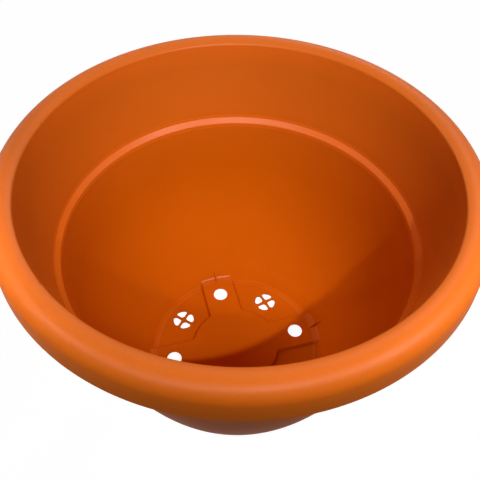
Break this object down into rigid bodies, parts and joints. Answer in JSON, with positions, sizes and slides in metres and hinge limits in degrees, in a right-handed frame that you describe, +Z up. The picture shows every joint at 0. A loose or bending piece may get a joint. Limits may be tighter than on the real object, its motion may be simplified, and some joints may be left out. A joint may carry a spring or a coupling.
{
  "type": "plastic flower pot",
  "caption": "Round moulded plastic planter with a rolled rim, stacking ledge, bellied wall and a raised drainage cross in its floor.",
  "frame": {"origin": "on the ground at the pot's axis", "axes": "+Z up along the pot's axis; the arms of the raised drainage cross lie along X and Y"},
  "size_m": [0.3048, 0.3048, 0.225],
  "materials": {
    "moulding": "fine matt moulded polypropylene, coloured through"
  },
  "bodies": {
    "root": {"rim_roll": "moulding", "rim_skirt": "moulding", "collar": "moulding", "stacking_ledge": "moulding", "body_wall": "moulding", "base_ring": "moulding", "floor_cross": "moulding", "foot_1": "moulding", "foot_2": "moulding", "foot_3": "moulding", "foot_4": "moulding", "drain_bars_1": "moulding", "drain_bars_2": "moulding", "drain_bars_3": "moulding", "drain_bars_4": "moulding", "gusset_1": "moulding", "gusset_2": "moulding", "gusset_3": "moulding", "gusset_4": "moulding"}
  },
  "joints": []
}
